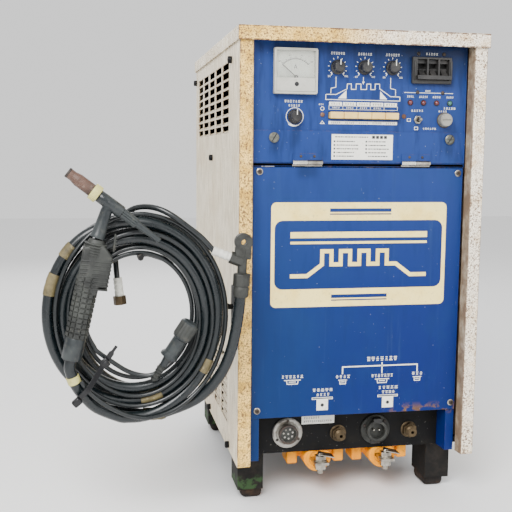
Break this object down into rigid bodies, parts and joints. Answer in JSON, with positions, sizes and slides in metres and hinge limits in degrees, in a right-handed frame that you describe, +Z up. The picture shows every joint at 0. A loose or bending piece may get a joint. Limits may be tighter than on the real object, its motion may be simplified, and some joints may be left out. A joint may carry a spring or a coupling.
{
  "type": "tig welding machine",
  "caption": "Upright inverter TIG welding machine in a cream and blue sheet-steel cabinet, with a torch on a coiled lead hung at its left side.",
  "frame": {"origin": "on the floor, under the middle of the outline of the cabinet with its torch, without the lead", "axes": "+X to the right seen from the front, +Y from the front to the back, +Z up"},
  "size_m": [0.653, 0.593, 0.7192],
  "materials": {
    "cream_paint": "satin, rust-speckled",
    "blue_paint": "satin, scratched",
    "black_steel": "matt, dusty",
    "foot_rubber": "matt",
    "black_plastic": "matt",
    "meter_plastic": "gloss",
    "breaker_plastic": "satin",
    "board": "matt",
    "core_steel": "varnished",
    "nickel": "dulled",
    "grey_plastic": "satin",
    "cast_alloy": "satin, stained",
    "brass": "tarnished",
    "orange_moulding": "satin",
    "zinc_plate": "dulled",
    "nozzle_ceramic": "burnt, matt",
    "torch_rubber": "matt",
    "lead_rubber": "satin",
    "lug_alloy": "oxidised",
    "key_plastic": "satin, yellowed",
    "knob_plastic": "satin"
  },
  "bodies": {
    "cabinet": {"base_pan": "black_steel", "connector_panel": "black_steel", "fan_shroud": "black_plastic", "foot_front_left": "foot_rubber", "foot_front_right": "foot_rubber", "foot_rear_left": "foot_rubber", "foot_rear_right": "foot_rubber", "front_frame": "blue_paint", "control_panel": "blue_paint", "lower_front_cover": "blue_paint", "left_side_cover": "cream_paint", "right_side_cover": "cream_paint", "top_cover": "cream_paint", "rear_panel": "cream_paint", "meter_case": "meter_plastic", "breaker_body": "breaker_plastic", "control_board": "board", "main_transformer": "core_steel", "remote_receptacle": "cast_alloy", "torch_switch_receptacle": "black_plastic", "gas_outlet": "brass", "water_outlet": "brass", "terminal_insulator_left": "orange_moulding", "terminal_insulator_right": "orange_moulding", "output_terminal_left": "zinc_plate", "output_terminal_right": "zinc_plate", "hinge_left": "nickel", "hinge_right": "nickel", "torch_hanger": "zinc_plate", "torch_nozzle": "nozzle_ceramic", "torch_body": "torch_rubber", "torch_handle": "torch_rubber", "lead_coil": "lead_rubber", "torch_lead": "lead_rubber", "lug_lead": "lead_rubber", "gas_hose": "lead_rubber", "gas_hose_tail": "lead_rubber", "switch_cable": "lead_rubber", "power_lug": "lug_alloy", "gas_hose_nut": "brass", "switch_plug": "torch_rubber"},
    "flap": {"flap_door": "blue_paint"},
    "flap_screw_left": {"flap_screw_left": "nickel"},
    "flap_screw_right": {"flap_screw_right": "nickel"},
    "knob_upper_left": {"knob_upper_left": "knob_plastic"},
    "knob_upper_middle": {"knob_upper_middle": "knob_plastic"},
    "knob_upper_right": {"knob_upper_right": "knob_plastic"},
    "knob_lower_left": {"knob_lower_left": "knob_plastic"},
    "mode_key_1": {"mode_key_1": "key_plastic"},
    "mode_key_2": {"mode_key_2": "key_plastic"},
    "mode_key_3": {"mode_key_3": "key_plastic"},
    "mode_key_4": {"mode_key_4": "key_plastic"},
    "mode_key_5": {"mode_key_5": "key_plastic"},
    "toggle_lever": {"toggle_lever": "nickel"},
    "fuse_cap": {"fuse_cap": "grey_plastic"},
    "breaker_handle": {"breaker_handle": "breaker_plastic"},
    "meter_needle": {"meter_needle": "black_plastic"},
    "fan_rotor": {"fan_rotor": "black_plastic"},
    "torch_lever": {"torch_lever": "torch_rubber"},
    "torch_cap": {"torch_cap": "torch_rubber"}
  },
  "joints": [
    {"name": "flap_hinge", "type": "hinge", "parent": "cabinet", "child": "flap", "pos_m": [0.1235, -0.1883, 0.5276], "axis": [1, 0, 0], "range_deg": [0, 150]},
    {"name": "flap_screw_left_turn", "type": "hinge", "parent": "flap", "child": "flap_screw_left", "pos_m": [-0.0095, -0.1869, 0.5635], "axis": [0, -1, 0], "range_deg": [0, 360]},
    {"name": "flap_screw_right_turn", "type": "hinge", "parent": "flap", "child": "flap_screw_right", "pos_m": [0.262, -0.1869, 0.5635], "axis": [0, -1, 0], "range_deg": [0, 360]},
    {"name": "knob_upper_left_turn", "type": "hinge", "parent": "cabinet", "child": "knob_upper_left", "pos_m": [0.085, -0.1851, 0.6665], "axis": [0, 1, 0], "range_deg": [-135, 135]},
    {"name": "knob_upper_middle_turn", "type": "hinge", "parent": "cabinet", "child": "knob_upper_middle", "pos_m": [0.1264, -0.1851, 0.667], "axis": [0, 1, 0], "range_deg": [-135, 135]},
    {"name": "knob_upper_right_turn", "type": "hinge", "parent": "cabinet", "child": "knob_upper_right", "pos_m": [0.1692, -0.1851, 0.6675], "axis": [0, 1, 0], "range_deg": [-135, 135]},
    {"name": "knob_lower_left_turn", "type": "hinge", "parent": "cabinet", "child": "knob_lower_left", "pos_m": [0.0215, -0.1851, 0.594], "axis": [0, 1, 0], "range_deg": [-135, 135]},
    {"name": "mode_key_1_press", "type": "slide", "parent": "cabinet", "child": "mode_key_1", "axis": [0, 1, 0], "range_m": [0, 0.0035], "stiffness_N_per_m": 300},
    {"name": "mode_key_2_press", "type": "slide", "parent": "cabinet", "child": "mode_key_2", "axis": [0, 1, 0], "range_m": [0, 0.0035], "stiffness_N_per_m": 300},
    {"name": "mode_key_3_press", "type": "slide", "parent": "cabinet", "child": "mode_key_3", "axis": [0, 1, 0], "range_m": [0, 0.0035], "stiffness_N_per_m": 300},
    {"name": "mode_key_4_press", "type": "slide", "parent": "cabinet", "child": "mode_key_4", "axis": [0, 1, 0], "range_m": [0, 0.0035], "stiffness_N_per_m": 300},
    {"name": "mode_key_5_press", "type": "slide", "parent": "cabinet", "child": "mode_key_5", "axis": [0, 1, 0], "range_m": [0, 0.0035], "stiffness_N_per_m": 300},
    {"name": "toggle_flip", "type": "hinge", "parent": "cabinet", "child": "toggle_lever", "pos_m": [0.2108, -0.1841, 0.5926], "axis": [1, 0, 0], "range_deg": [-14, 14]},
    {"name": "fuse_cap_turn", "type": "hinge", "parent": "cabinet", "child": "fuse_cap", "pos_m": [0.2529, -0.1851, 0.5926], "axis": [0, -1, 0], "range_deg": [0, 90]},
    {"name": "breaker_throw", "type": "hinge", "parent": "cabinet", "child": "breaker_handle", "pos_m": [0.2295, -0.1805, 0.666], "axis": [-1, 0, 0], "range_deg": [0, 78]},
    {"name": "meter_swing", "type": "hinge", "parent": "cabinet", "child": "meter_needle", "pos_m": [0.0215, -0.1905, 0.6505], "axis": [0, 1, 0], "range_deg": [0, 100], "stiffness_Nm_per_rad": 0.0002},
    {"name": "fan_spin", "type": "hinge", "parent": "cabinet", "child": "fan_rotor", "pos_m": [0.1235, 0.2695, 0.506], "axis": [0, 1, 0], "continuous": true},
    {"name": "torch_lever_press", "type": "hinge", "parent": "cabinet", "child": "torch_lever", "pos_m": [-0.2439, -0.2795, 0.409], "axis": [0, -1, 0], "range_deg": [0, 13], "stiffness_Nm_per_rad": 0.02},
    {"name": "torch_cap_turn", "type": "hinge", "parent": "cabinet", "child": "torch_cap", "pos_m": [-0.23197, -0.2795, 0.46075], "axis": [0.7934, 0, -0.6086], "range_deg": [0, 360]}
  ]
}
